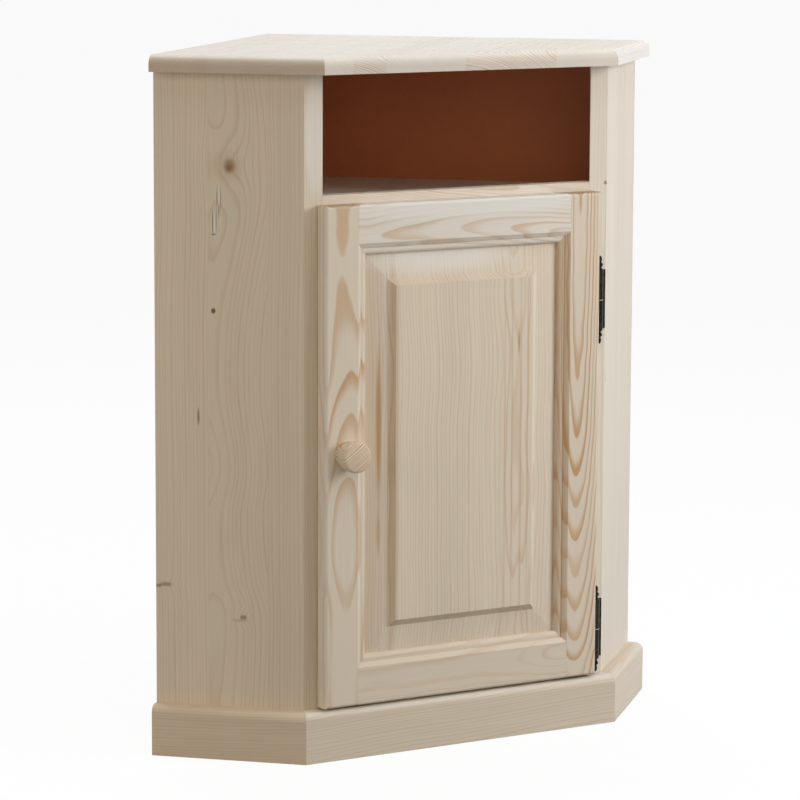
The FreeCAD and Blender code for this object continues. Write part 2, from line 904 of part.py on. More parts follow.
HINGES = (("upper", upper_hinge_z), ("lower", lower_hinge_z))
washers = []
for word, level in HINGES:
    low = level - hinge_half
    high = level + hinge_half
    knuckle_length = hinge_half - knuckle_end
    lower_axis = (hinge_x, hinge_y, low)
    upper_axis = (hinge_x, hinge_y, level + knuckle_end)

    name = f"{word}_hinge_frame_leaf"
    web_right = hinge_x + size.hinge_radius
    leaf(name, [
        box(f"{name}_plate", (leaf_left, -size.leaf_thickness, low), (leaf_right, ZERO, high)),
        box(f"{name}_web", (web_right - size.leaf_thickness, hinge_y, low),
            (web_right, ZERO, level - knuckle_end)),
        cylinder(f"{name}_knuckle", size.hinge_radius, knuckle_length, lower_axis),
        turned(f"{name}_finial", finial_profile, x=hinge_x, y=hinge_y, z=low, rotation=turned_to(-UP)),
    ], level, frame_screw_places(level))

    name = f"{word}_hinge_door_leaf"
    web_front = hinge_y - size.hinge_radius
    leaf(name, [
        box(f"{name}_plate", (door_right, door_leaf_front, low), (leaf_surface_x, door_leaf_back, high)),
        box(f"{name}_web", (door_right, web_front, level + knuckle_end),
            (hinge_x, web_front + size.leaf_thickness, high)),
        cylinder(f"{name}_knuckle", size.hinge_radius, knuckle_length, upper_axis),
        turned(f"{name}_finial", finial_profile, x=hinge_x, y=hinge_y, z=high),
    ], level, door_screw_places(level))

    name = f"{word}_hinge_pin"
    keep(cylinder(name, size.pin_radius, pin_half * 2, (hinge_x, hinge_y, level - pin_half)), name)

    washer_low = (hinge_x, hinge_y, level - knuckle_end)
    disc = cylinder(f"{word}_washer_disc", size.washer_radius, size.washer_thickness, washer_low)
    washers.append(cut(f"{word}_washer", disc, [hinge_bore(f"{word}_washer_bore", level)]))

keep(together("hinge_washers", washers), "hinge_washers")
for name, places_at in (("hinge_frame_screws", frame_screw_places), ("hinge_door_screws", door_screw_places)):
    copies(name, small_screw, [place for _, level in HINGES for place in places_at(level)])


# Magnetic catch under the niche rail, and its strike plate on the door

catch_low = rail_bottom - size.catch_height
catch_front = size.catch_setback
catch_back = catch_front + size.catch_depth
ear_reach = size.catch_width / 2 + size.ear_width
ear_low = rail_bottom - size.ear_thickness

housing = new_body("catch_housing_blank")
housing_outline = [
    (catch_x - ear_reach, rail_bottom), (catch_x - ear_reach, ear_low),
    (catch_x - size.catch_width / 2, ear_low), (catch_x - size.catch_width / 2, catch_low),
    (catch_x + size.catch_width / 2, catch_low), (catch_x + size.catch_width / 2, ear_low),
    (catch_x + ear_reach, ear_low), (catch_x + ear_reach, rail_bottom),
]
pad(housing, outline(housing, "XZ_Plane", housing_outline, offset=-catch_back), size.catch_depth)

catch_middle = catch_low + size.catch_height / 2
slot_left = catch_x - size.magnet_width / 2 - size.joint_gap
slot_low = catch_middle - size.magnet_height / 2 - size.joint_gap
slot = box(
    "catch_slot", (slot_left, catch_front, slot_low),
    (slot_left + size.magnet_width + size.joint_gap * 2, catch_back,
     slot_low + size.magnet_height + size.joint_gap * 2),
)


def catch_screw_places():
    for sign in (LEFT, RIGHT):
        x = catch_x + sign * (ear_reach - size.ear_width / 2)
        yield x, catch_front + size.catch_depth / 2, ear_low, UP


ear_sinks = [
    countersink(f"ear_sink_{number}", place[:3], UP, size.leaf_thickness, size.leaf_thickness)
    for number, place in enumerate(catch_screw_places(), 1)
]
ear_holes = [
    cylinder(f"ear_hole_{number}", size.small_screw_radius + size.joint_gap, size.ear_thickness, place[:3])
    for number, place in enumerate(catch_screw_places(), 1)
]
keep(cut("catch_housing", housing, [slot, *ear_sinks, *ear_holes]), "catch_housing")
keep(box(
    "catch_magnet",
    (catch_x - size.magnet_width / 2, catch_front - size.magnet_proud, catch_middle - size.magnet_height / 2),
    (catch_x + size.magnet_width / 2, catch_back, catch_middle + size.magnet_height / 2),
), "catch_magnet")
copies("catch_screws", small_screw, catch_screw_places())

strike_face = door_back + size.strike_thickness
strike_blank = box(
    "strike_blank",
    (catch_x - size.strike_width / 2, door_back, catch_middle - size.strike_height / 2),
    (catch_x + size.strike_width / 2, strike_face, catch_middle + size.strike_height / 2),
)
strike_middle = (catch_x, strike_face, catch_middle)
strike_sink = countersink("strike_sink", strike_middle, FORWARD, size.strike_thickness, size.leaf_thickness)
keep(cut("catch_strike_plate", strike_blank, [strike_sink]), "catch_strike_plate")
copies("strike_screw", small_screw, [(*strike_middle, FORWARD)])


# Check every object, then write each sub-part

DOC.recompute()
for item in DOC.Objects:
    if any(word in state for state in item.State for word in ("Invalid", "Error")):
        raise RuntimeError(f"{item.Name} failed: {item.State}")
for node in NODES:
    if node.Shape.isNull() or not node.Shape.isValid() or not node.Shape.Solids:
        raise RuntimeError(f"{node.Label} has no valid solid")

os.makedirs("parts", exist_ok=True)
for node in NODES:
    node.Shape.exportStep(os.path.join("parts", f"{node.Label}.step"))
    print(node.Label, len(node.Shape.Solids), round(node.Shape.Volume))
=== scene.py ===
import json
import math
from typing import NamedTuple

import bpy
from mathutils import Matrix, Vector


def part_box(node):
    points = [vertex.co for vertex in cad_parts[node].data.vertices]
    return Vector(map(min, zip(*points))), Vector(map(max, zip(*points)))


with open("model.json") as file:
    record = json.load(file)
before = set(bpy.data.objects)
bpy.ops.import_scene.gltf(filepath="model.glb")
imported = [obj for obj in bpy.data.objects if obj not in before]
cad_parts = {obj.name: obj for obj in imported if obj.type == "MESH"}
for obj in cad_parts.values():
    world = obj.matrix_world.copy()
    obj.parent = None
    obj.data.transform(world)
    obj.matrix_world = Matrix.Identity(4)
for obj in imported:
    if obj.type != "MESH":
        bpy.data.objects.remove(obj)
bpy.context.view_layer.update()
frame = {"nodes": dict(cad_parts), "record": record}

nodes = frame["nodes"]

# Units and directions in the row frame, whose lengths are metres

MM = 0.001
ROOT_HALF = math.sqrt(0.5)
X_AXIS = Vector((1, 0, 0))
Y_AXIS = Vector((0, 1, 0))
Z_AXIS = Vector((0, 0, 1))
LEFT_RUN = Vector((-ROOT_HALF, ROOT_HALF, 0))
RIGHT_RUN = Vector((ROOT_HALF, ROOT_HALF, 0))
LEFT_OUT = -RIGHT_RUN
RIGHT_OUT = -LEFT_RUN
FRONT_OUT = -Y_AXIS


def middle_of(name):
    """Middle of a node's box."""
    low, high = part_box(name)
    return (low + high) / 2


def pieces_of(slot):
    """Names of the nodes that the record gives a material slot."""
    return [entry["node"] for entry in frame["record"]["subparts"] if entry["material_slot"] == slot]


def dress(names, material):
    """Give pieces a material in place of any that they have."""
    for name in names:
        mesh = nodes[name].data
        mesh.materials.clear()
        mesh.materials.append(material)


# Shader graphs

# Parts of a noise's range that are spread out to full strength
NOISE_WIDEST = (0.2, 0.8)
NOISE_WIDE = (0.25, 0.75)
NOISE_MIDDLE = (0.3, 0.7)
NOISE_NARROW = (0.35, 0.65)
NOISE_MEAN = 0.5
# A colour ramp carries a number in each of red, green and blue
RAMP_CHANNELS = 3
# Sockets of a Mix node that hold its colours
MIX_COLOURS = slice(6, 8)
MIX_RESULT = 2
# How far the rounded normal still agrees with the true one where wear begins and where it is full
WEAR_AGREEMENT = (0.98, 0.85)
WEAR_SAMPLES = 4


class Graph:
    """Node tree of a material or a world, written as expressions: numbers and sockets mix freely."""

    def __init__(self, owner):
        owner.use_nodes = True
        self.owner = owner
        self.tree = owner.node_tree
        self.tree.nodes.clear()

    def node(self, kind, **settings):
        made = self.tree.nodes.new(kind)
        for key, value in settings.items():
            setattr(made, key, value)
        return made

    def feed(self, socket, value):
        if isinstance(value, bpy.types.NodeSocket):
            self.tree.links.new(value, socket)
        else:
            socket.default_value = value

    def feed_all(self, sockets, values):
        for socket, value in zip(sockets, values):
            self.feed(socket, value)

    def math(self, operation, *values):
        made = self.node("ShaderNodeMath", operation=operation)
        self.feed_all(made.inputs, values)
        return made.outputs[0]

    def product(self, first, *others):
        for other in others:
            first = self.math("MULTIPLY", first, other)
        return first

    def sum_of_squares(self, first, second):
        return self.math("ADD", self.product(first, first), self.product(second, second))

    def vector_math(self, operation, first, second):
        made = self.node("ShaderNodeVectorMath", operation=operation)
        self.feed_all(made.inputs, (first, second))
        return made.outputs

    def dot(self, first, second):
        return self.vector_math("DOT_PRODUCT", first, second)["Value"]

    def minus(self, first, second):
        return self.vector_math("SUBTRACT", first, second)["Vector"]

    def vector(self, x, y, z):
        made = self.node("ShaderNodeCombineXYZ")
        self.feed_all(made.inputs, (x, y, z))
        return made.outputs[0]

    def noise(self, vector, scale, detail=2.0, roughness=0.5):
        made = self.node("ShaderNodeTexNoise", noise_dimensions="3D")
        self.feed(made.inputs["Vector"], vector)
        made.inputs["Scale"].default_value = scale
        made.inputs["Detail"].default_value = detail
        made.inputs["Roughness"].default_value = roughness
        return made.outputs["Fac"]

    def line_noise(self, place, detail):
        """Noise along a line, with outputs Fac and Color."""
        made = self.node("ShaderNodeTexNoise", noise_dimensions="1D")
        self.feed(made.inputs["W"], place)
        made.inputs["Scale"].default_value = 1.0
        made.inputs["Detail"].default_value = detail
        return made.outputs

    def channels(self, colour):
        made = self.node("ShaderNodeSeparateColor")
        self.feed(made.inputs[0], colour)
        return list(made.outputs)

    def follow(self, value, stops, interpolation):
        """Numbers that change with a value: each stop is the value and the numbers there."""
        places = [stop[0] for stop in stops]
        tracks = list(zip(*(stop[1:] for stop in stops)))
        if len(stops) == 1:
            return [track[0] for track in tracks]
        share = self.spread(value, places[0], places[-1])
        stop_shares = [(place - places[0]) / (places[-1] - places[0]) for place in places]
        answers = []
        for first in range(0, len(tracks), RAMP_CHANNELS):
            answers += self.ramp(share, stop_shares, tracks[first:first + RAMP_CHANNELS], interpolation)
        return answers

    def ramp(self, share, stop_shares, tracks, interpolation):
        """Up to three tracks of numbers, carried by the channels of one colour ramp."""
        made = self.node("ShaderNodeValToRGB")
        made.color_ramp.interpolation = interpolation
        elements = made.color_ramp.elements
        while len(elements) < len(stop_shares):
            elements.new(stop_shares[-1])
        for element, stop_share in zip(elements, stop_shares):
            element.position = stop_share
        lows = [min(track) for track in tracks]
        spans = [max(track) - min(track) for track in tracks]
        for number, element in enumerate(elements):
            shares = [(track[number] - low) / span if span else 0
                      for track, low, span in zip(tracks, lows, spans)]
            spare = [0] * (RAMP_CHANNELS - len(shares))
            element.color = (*shares, *spare, 1)
        self.feed(made.inputs[0], share)
        return [self.math("MULTIPLY_ADD", output, span, low) if span else low
                for output, low, span in zip(self.channels(made.outputs[0]), lows, spans)]

    def mix(self, share, first, second, blend="MIX"):
        made = self.node("ShaderNodeMix", data_type="RGBA", blend_type=blend)
        self.feed(made.inputs["Factor"], share)
        for socket, value in zip(made.inputs[MIX_COLOURS], (first, second)):
            self.feed(socket, value if isinstance(value, bpy.types.NodeSocket) else (*value, 1))
        return made.outputs[MIX_RESULT]

    def spread(self, value, low, high, to_low=0.0, to_high=1.0, smooth=False):
        """A value's range from low to high, drawn out to another range and held at its ends."""
        made = self.node("ShaderNodeMapRange", clamp=True)
        made.interpolation_type = "SMOOTHSTEP" if smooth else "LINEAR"
        self.feed_all(made.inputs, (value, low, high, to_low, to_high))
        return made.outputs[0]

    def worn_edge(self, reach):
        """One along a sharp edge, falling to zero at the reach from it."""
        rounded = self.node("ShaderNodeBevel", samples=WEAR_SAMPLES)
        rounded.inputs["Radius"].default_value = reach
        true_normal = self.node("ShaderNodeNewGeometry").outputs["Normal"]
        return self.spread(self.dot(rounded.outputs[0], true_normal), *WEAR_AGREEMENT)

    def blend(self, share, first, second):
        """Two shaders mixed."""
        made = self.node("ShaderNodeMixShader")
        self.feed_all(made.inputs, (share, first, second))
        return made.outputs[0]

    def show(self, shader, output="ShaderNodeOutputMaterial"):
        self.feed(self.node(output).inputs["Surface"], shader)

    def finish(self, colour, roughness, height, relief, **constants):
        """The material, with a surface of this colour, roughness and height."""
        shader = self.node("ShaderNodeBsdfPrincipled")
        self.feed(shader.inputs["Base Color"], colour)
        self.feed(shader.inputs["Roughness"], roughness)
        for name, value in constants.items():
            shader.inputs[name.replace("_", " ")].default_value = value
        bump = self.node("ShaderNodeBump")
        bump.inputs["Strength"].default_value = 1.0
        bump.inputs["Distance"].default_value = relief
        self.feed(bump.inputs["Height"], height)
        self.feed(shader.inputs["Normal"], bump.outputs[0])
        self.show(shader.outputs[0])
        return self.owner


def new_material(name):
    """Graph of a new material."""
    return Graph(bpy.data.materials.new(name))


# Pine: colours

EARLY_WOOD = (0.75, 0.635, 0.495)
PALE_WOOD_AND_PAINTED_LIGHT = (0.84, 0.79, 0.71)
LATE_WOOD_AND_PAINTED_SHADE = (0.57, 0.33, 0.16)
RESIN_AND_PAINTED_SHADE = (0.44, 0.245, 0.105)
BARK = (0.12, 0.065, 0.035)
KNOT = (0.30, 0.15, 0.07)
HANDLED_WOOD = (0.60, 0.46, 0.32)
END_GRAIN = (0.70, 0.62, 0.57)

# Pine: noises, with scales per millimetre, drawn out along the grain where only a share of the run counts

RIPPLE_SCALE = 0.045
PATCH_SCALE = 0.02
PATCH_RUN_SHARE = 0.07
PATCH_SEED_STEP = 50
FIBRE_SCALE = 0.9
FIBRE_RUN_SHARE = 0.012
FIBRE_SEED_STEP = 30
FIBRE_HARSHNESS = 0.6

# Pine: rings, with steps of noise per ring, and shares of a ring's width

DRIFT_STEP = 0.37
RING_STEP = 0.73
LATE_FULL_SHARE = 0.9
LATE_END_SHARE = 0.92
PUSH_FALL = 0.12

# Pine: how strongly each thing shows

RING_SHARES = (0.5, 1.0)
CONTRAST_SHARES = (0.7, 1.2)
FIBRE_LIGHT_SHARES = (0.95, 1.03)
PATCH_LIGHT_SHARES = (1.02, 0.96)
END_FACING = (0.5, 1.0)
END_BOLDNESS = 1.6
FRAY = 0.2
WOOD_WEAR = 1.5 * MM
WOOD_WEAR_SHARES = (0.1, 0.5)
WOOD_RELIEF = 0.12 * MM
LATE_RELIEF_SHARE = 0.3
FIBRE_RELIEF_SHARE = 0.5
FIBRE_ROUGHNESS = 0.06
WEAR_POLISH = 0.15


class Mark(NamedTuple):
    """An oval mark in a board, in millimetres from its middle, and how many rings it pushes aside."""

    run: float
    across: float
    half_run: float
    half_across: float
    colour: tuple
    strength: float
    soft: float
    push: float = 0.0


class Stave(NamedTuple):
    """One of the strips that a wide board is glued from, from its left edge on, in millimetres.

    Its log's heart lies across and deep by so much, and bends by a share of the board's pith line."""

    edge: float
    across: float
    depth: float
    bend: float = 0.1
    tone: float = 1.0
    seed: float = 0.0
    figure: float = 1.0


PLAIN_PITH = ((0, 20, 50),)


class Board(NamedTuple):
    """How a board was sawn. Lengths are in millimetres from the middle of the board's box.

    The pith is the line of the log's heart, as points of (run, across, depth behind the middle)."""

    along: Vector
    out: Vector
    pith: tuple = PLAIN_PITH
    ring: float = 3.4
    contrast: float = 0.5
    late_share: float = 0.4
    sway: float = 2.0
    sway_length: float = 300.0
    warp: float = 0.5
    uneven: float = 1.2
    pinch: float = 1.0
    pale: float = 0.0
    roughness: float = 0.54
    end_share: float = 1.0
    seed: float = 0.0
    staves: tuple = ()
    marks: tuple = ()


class Place(NamedTuple):
    """The shaded point in a board's own directions, as sockets in millimetres."""

    run: bpy.types.NodeSocket
    wide: bpy.types.NodeSocket
    deep: bpy.types.NodeSocket


class Heart(NamedTuple):
    """The heart of the log beside a place, and its stave's tone, seed and figure, as sockets or numbers."""

    wide: object
    deep: object
    tone: object
    seed: object
    figure: object


class Grain(NamedTuple):
    """Noises that a board's rings, tone and fibres follow, as sockets."""

    ripple: bpy.types.NodeSocket
    patch: bpy.types.NodeSocket
    fibre: bpy.types.NodeSocket


def place_in_board(graph, board, point, middle):
    """A point along the board, across it and out of its show face."""
    local = graph.minus(point, middle)
    across = board.along.cross(board.out)
    return Place(*(graph.dot(local, axis / MM) for axis in (board.along, across, board.out)))


def heart_beside(graph, board, place):
    """Where the heart of the log runs, with a little sway."""
    wide, deep = graph.follow(place.run, board.pith, "B_SPLINE")
    tone, seed, figure = 1.0, board.seed, 1.0
    if board.staves:
        first, last = board.staves[0], board.staves[-1]
        stops = (*board.staves, last._replace(edge=-first.edge))
        across, depth, bend, tone, seed, figure = graph.follow(place.wide, stops, "CONSTANT")
        wide = graph.math("MULTIPLY_ADD", wide, bend, across)
        deep = graph.math("MULTIPLY_ADD", deep, bend, depth)
    along_sway = graph.math("ADD", graph.math("DIVIDE", place.run, board.sway_length), seed)
    sways = graph.channels(graph.line_noise(along_sway, detail=1.0)["Color"])
    wide, deep = [
        graph.math("ADD", straight, graph.spread(sway, *NOISE_WIDEST, -board.sway, board.sway))
        for straight, sway in zip((wide, deep), sways)
    ]
    return Heart(wide, deep, tone, seed, figure)


def drawn_out(graph, place, run_share, shift):
    """A place for noise that is drawn out along the grain."""
    return graph.vector(place.wide, place.deep, graph.math("MULTIPLY_ADD", place.run, run_share, shift))


def grain_noises(graph, board, place):
    """Slow ripples and patches, and fine fibres."""
    slow = drawn_out(graph, place, PATCH_RUN_SHARE, board.seed * PATCH_SEED_STEP)
    fine = drawn_out(graph, place, FIBRE_RUN_SHARE, board.seed * FIBRE_SEED_STEP)
    return Grain(
        ripple=graph.noise(slow, RIPPLE_SCALE),
        patch=graph.noise(slow, PATCH_SCALE),
        fibre=graph.noise(fine, FIBRE_SCALE, roughness=FIBRE_HARSHNESS),
    )


def mark_squares(graph, board, place):
    """For each mark, the square of the distance from its middle, which is one at its rim."""
    squares = []
    for mark in board.marks:
        across = graph.math("DIVIDE", graph.math("SUBTRACT", place.wide, mark.across), mark.half_across)
        run = graph.math("DIVIDE", graph.math("SUBTRACT", place.run, mark.run), mark.half_run)
        squares.append(graph.sum_of_squares(across, run))
    return squares


def ring_count(graph, board, place, heart, grain, squares):
    """Rings between the heart and the place: rippled, pushed aside by knots and uneven in width."""
    from_wide = graph.product(graph.math("SUBTRACT", place.wide, heart.wide), board.pinch)
    from_deep = graph.math("ADD", place.deep, heart.deep)
    radius = graph.math("SQRT", graph.sum_of_squares(from_wide, from_deep))
    count = graph.math("DIVIDE", radius, board.ring)
    ripple = graph.math("SUBTRACT", grain.ripple, NOISE_MEAN)
    count = graph.math("MULTIPLY_ADD", ripple, 2 * board.warp, count)
    for mark, square in zip(board.marks, squares):
        if mark.push:
            near = graph.math("EXPONENT", graph.product(square, -PUSH_FALL))
            count = graph.math("MULTIPLY_ADD", near, mark.push, count)
    along_drift = graph.math("MULTIPLY_ADD", count, DRIFT_STEP, heart.seed)
    drift = graph.math("SUBTRACT", graph.line_noise(along_drift, detail=2.0)["Fac"], NOISE_MEAN)
    return graph.math("MULTIPLY_ADD", drift, board.uneven, count)


def late_wood(graph, board, heart, count):
    """How dark a ring is at the place: a slow rise, a quick fall, and no two rings alike."""
    share = graph.math("FRACT", count)
    rise = graph.spread(share, LATE_END_SHARE - board.late_share, LATE_FULL_SHARE, smooth=True)
    fall = graph.spread(share, LATE_END_SHARE, 1.0, 1.0, 0.0, smooth=True)
    ring = graph.math("MULTIPLY_ADD", graph.math("FLOOR", count), RING_STEP, heart.seed)
    chance = graph.line_noise(ring, detail=0.0)["Fac"]
    return graph.product(rise, fall, graph.spread(chance, *NOISE_WIDE, *RING_SHARES))


def wood_colour(graph, board, heart, grain, late, ends):
    """Rings, slow changes of tone and fine fibres, darker on end grain."""
    faint, strong = [share * board.contrast for share in CONTRAST_SHARES]
    bold = graph.spread(grain.patch, *NOISE_MIDDLE, faint, strong)
    end_bold = graph.spread(ends, 0.0, 1.0, 1.0, END_BOLDNESS)
    early = tuple(plain + board.pale * (pale - plain) for plain, pale in zip(EARLY_WOOD, PALE_WOOD_AND_PAINTED_LIGHT))
    colour = graph.mix(graph.product(late, heart.figure, bold, end_bold), early, LATE_WOOD_AND_PAINTED_SHADE)
    fibre_light = graph.spread(grain.fibre, *NOISE_WIDE, *FIBRE_LIGHT_SHARES)
    patch_light = graph.spread(grain.patch, *NOISE_MIDDLE, *PATCH_LIGHT_SHARES)
    light = graph.product(fibre_light, patch_light, heart.tone)
    colour = graph.mix(1.0, colour, graph.vector(light, light, light), "MULTIPLY")
    return graph.mix(ends, colour, END_GRAIN, "MULTIPLY")


def with_marks(graph, board, grain, squares, colour):
    """The colour with the board's marks over it, their rims frayed by the fibres."""
    for mark, square in zip(board.marks, squares):
        fray = graph.spread(grain.fibre, *NOISE_WIDEST, -FRAY, FRAY)
        ragged = graph.math("ADD", graph.math("SQRT", square), fray)
        cover = graph.spread(ragged, 1 - mark.soft, 1 + mark.soft, mark.strength, 0.0, smooth=True)
        colour = graph.mix(cover, colour, mark.colour)
    return colour


def pine(name, board):
    """Solid pine: growth rings round the pith, so that faces, bevels and end grain agree."""
    graph = new_material(f"pine_{name}")
    coordinates = graph.node("ShaderNodeTexCoord").outputs
    place = place_in_board(graph, board, coordinates["Object"], middle_of(name))
    heart = heart_beside(graph, board, place)
    grain = grain_noises(graph, board, place)
    squares = mark_squares(graph, board, place)
    late = late_wood(graph, board, heart, ring_count(graph, board, place, heart, grain, squares))
    end_on = graph.math("ABSOLUTE", graph.dot(coordinates["Normal"], board.along))
    ends = graph.spread(end_on, *END_FACING, 0.0, board.end_share)
    colour = wood_colour(graph, board, heart, grain, late, ends)
    colour = with_marks(graph, board, grain, squares, colour)
    wear = graph.product(
        graph.worn_edge(WOOD_WEAR), graph.spread(grain.patch, *NOISE_NARROW, *WOOD_WEAR_SHARES))
    colour = graph.mix(wear, colour, HANDLED_WOOD)
    height = graph.math(
        "ADD", graph.product(late, LATE_RELIEF_SHARE), graph.product(grain.fibre, FIBRE_RELIEF_SHARE))
    roughest, smoothest = board.roughness + FIBRE_ROUGHNESS, board.roughness - FIBRE_ROUGHNESS
    roughness = graph.spread(grain.fibre, *NOISE_WIDE, roughest, smoothest)
    roughness = graph.math("MULTIPLY_ADD", wear, -WEAR_POLISH, roughness)
    return graph.finish(colour, roughness, height, WOOD_RELIEF)


# Carcass boards, after the figures in the photograph

LEFT_PANEL_PITH = (
    (415, 0, 0), (300, 20, -4), (220, 6, 0), (130, -10, 4), (20, -16, 4), (-60, -6, -6), (-110, -14, 2),
    (-200, -4, 6), (-243, 8, -2), (-415, 0, 4),
)
LEFT_PANEL_STAVES = (
    Stave(-125, -190, 40, seed=3.1),
    Stave(-31.5, -28, 30, bend=1.0, tone=0.985, seed=9.7),
    Stave(41.6, 190, 40, tone=0.965, seed=5.2),
)
LEFT_PANEL_MARKS = (
    Mark(304, -4, 15, 12, KNOT, 0.25, 0.7, push=3.0),
    Mark(304, -4, 8, 7, KNOT, 0.75, 0.5),
    Mark(302, -5, 4, 3.4, BARK, 0.5, 0.6),
    Mark(266, -17.5, 9, 1.6, PALE_WOOD_AND_PAINTED_LIGHT, 0.6, 0.5),
    Mark(236, -23, 13, 1.8, PALE_WOOD_AND_PAINTED_LIGHT, 0.6, 0.5),
    Mark(266, -19.8, 11, 0.6, BARK, 0.7, 0.5),
    Mark(264, -15.4, 13, 0.6, BARK, 0.6, 0.5),
    Mark(250, -17.6, 7, 0.7, BARK, 0.6, 0.5),
    Mark(236, -25.2, 15, 0.6, BARK, 0.75, 0.5),
    Mark(240, -21, 15, 0.6, BARK, 0.65, 0.5),
    Mark(222, -24, 1, 2.6, BARK, 0.7, 0.5),
    Mark(130, -25, 3.2, 2.8, BARK, 0.95, 0.3),
    Mark(1, -44, 10, 1.1, BARK, 0.7, 0.4),
    Mark(-206, -86, 2.6, 7, BARK, 0.55, 0.5, push=1.2),
    Mark(-208, -95, 2.2, 4, BARK, 0.6, 0.5),
    Mark(-242, 12, 3, 4, BARK, 0.6, 0.5, push=1.5),
    Mark(-246, 8, 1.6, 9, RESIN_AND_PAINTED_SHADE, 0.4, 0.5),
    # Painted light: a pale stripe on the front edge beside the niche, standing in for light where the top's
    # shadow falls.
    Mark(345, 99, 75, 10, PALE_WOOD_AND_PAINTED_LIGHT, 0.5, 0.25),
    # Painted shade: a faint dark stripe down the front edge beside the door, where the door's shadow falls.
    Mark(-45, 99, 310, 10, RESIN_AND_PAINTED_SHADE, 0.2, 0.25),
)
RIGHT_PANEL_STAVES = (
    Stave(-125, 90, 30, seed=3.1),
    Stave(-30, -130, 40, seed=9.7),
    Stave(40, 190, 30, seed=5.2),
)
RIGHT_PANEL_MARKS = (
    Mark(268, -88, 2.4, 2.0, BARK, 0.8, 0.4),
    Mark(20, -78, 4, 1.2, BARK, 0.5, 0.5),
)
TOP_STAVES = (
    Stave(-380, -22, 100, seed=2.2),
    Stave(-110, -30, 60, seed=4.1, figure=0.3),
    Stave(60, 30, 90, seed=6.6),
    Stave(95, 30, 90, seed=6.6, figure=0.25),
    Stave(170, 150, 110, seed=8.3, figure=1.2),
    Stave(262, 200, 60, seed=1.7, figure=0.25),
)
NICHE_RAIL_PITH = ((-200, -75, 20), (200, 5, 24))
PLINTH_FRONT_PITH = ((-220, 60, 46), (220, 42, 40))
# Painted highlight: a pale band along the plinth's rounded top edge, which faces up to the light.
PLINTH_FRONT_MARKS = (Mark(0, -33, 500, 7, PALE_WOOD_AND_PAINTED_LIGHT, 0.6, 0.4),)
PLINTH_SIDE_PITH = ((-100, 60, 40), (100, 50, 46))
# Painted shade: the whole left plinth face darkened and warmed a little, as on the side away from the main
# light.
PLINTH_LEFT_PAINTED_SHADE = (Mark(0, 0, 250, 70, LATE_WOOD_AND_PAINTED_SHADE, 0.14, 0.3),)

BOARDS = {
    "left_side_panel": Board(
        Z_AXIS, LEFT_OUT, LEFT_PANEL_PITH, ring=4.2, contrast=0.38, late_share=0.35, sway=1.5, seed=3,
        staves=LEFT_PANEL_STAVES, marks=LEFT_PANEL_MARKS),
    "right_side_panel": Board(
        Z_AXIS, RIGHT_OUT, contrast=0.25, pale=0.3, seed=8,
        staves=RIGHT_PANEL_STAVES, marks=RIGHT_PANEL_MARKS),
    "top_board": Board(
        RIGHT_RUN, Z_AXIS, ring=2.4, contrast=0.6, late_share=0.45, pale=0.75, roughness=0.3, seed=12,
        staves=TOP_STAVES),
    "niche_rail": Board(
        X_AXIS, FRONT_OUT, NICHE_RAIL_PITH, ring=2.0, contrast=0.55, warp=0.8, pale=0.3, seed=15),
    # Painted light: the niche shelf is made paler than its wood, to stand in for light that the dim niche
    # does not get.
    "niche_shelf": Board(X_AXIS, Z_AXIS, contrast=0.35, pale=0.9, seed=17),
    "inner_shelf": Board(X_AXIS, Z_AXIS, contrast=0.4, seed=19),
    "bottom_board": Board(X_AXIS, Z_AXIS, contrast=0.4, seed=21),
    "plinth_front": Board(
        X_AXIS, FRONT_OUT, PLINTH_FRONT_PITH, ring=2.6, contrast=0.35, seed=23, marks=PLINTH_FRONT_MARKS),
    "plinth_left": Board(
        LEFT_RUN, LEFT_OUT, PLINTH_SIDE_PITH, ring=2.6, contrast=0.35, seed=25, marks=PLINTH_LEFT_PAINTED_SHADE),
    "plinth_right": Board(RIGHT_RUN, RIGHT_OUT, PLINTH_SIDE_PITH, ring=2.6, contrast=0.3, seed=27),
    "back_corner_post": Board(Z_AXIS, FRONT_OUT, contrast=0.45, seed=51),
    "plinth_corner_blocks": Board(Z_AXIS, FRONT_OUT, contrast=0.45, seed=53),
    "rail_dowels": Board(X_AXIS, Z_AXIS, contrast=0.3, seed=55),
}

# Cleats

CLEAT_ROLES = ("top", "niche", "inner", "bottom")
CLEAT_SIDES = {"left": (LEFT_RUN, 60), "right": (RIGHT_RUN, 70)}

cleats = {
    f"{side}_{role}_cleat": Board(run, Z_AXIS, contrast=0.45, seed=first_seed + number)
    for side, (run, first_seed) in CLEAT_SIDES.items()
    for number, role in enumerate(CLEAT_ROLES)
}
BOARDS.update(cleats)

# Door, after the figures in the photograph

LEFT_STILE_PITH = (
    (-290, -4.2, 23.5), (-217, -2.2, 23), (-175, -0.2, 21.7), (-135, -2.2, 16), (-96, -3.2, 14.5),
    (-55, -1.2, 17), (-17, 1.8, 21.7), (55, 4.8, 29.7), (105, 6.8, 37.7), (158, -1.2, 43.4),
    (195, -6.2, 45), (222, -7.2, 45.7), (234, -7.2, 46.4), (245, -6.2, 45.7), (309, -6.2, 44.6),
)
LEFT_STILE_MARKS = (
    # Painted light: a pale stripe along the door's outer left edge, lightening that shaded edge.
    Mark(0, -30, 340, 4.5, PALE_WOOD_AND_PAINTED_LIGHT, 0.45, 0.4),
    Mark(-248, -3, 66, 22, EARLY_WOOD, 0.9, 0.4),
    Mark(-260, 17.5, 4, 2.2, BARK, 0.6, 0.5),
)
RIGHT_STILE_PITH = (
    (-331, -3, 82), (-285, -3, 72.9), (-257, -3, 66.5), (-221, -3, 60.1), (-176, -3, 53.7), (-130, -3, 47.3),
    (-90, -3, 40.9), (-48, -3, 34.5), (-5, -3, 28.1), (74, -3, 21.7), (171, -2, 17.5), (288, -1, 15.3),
)
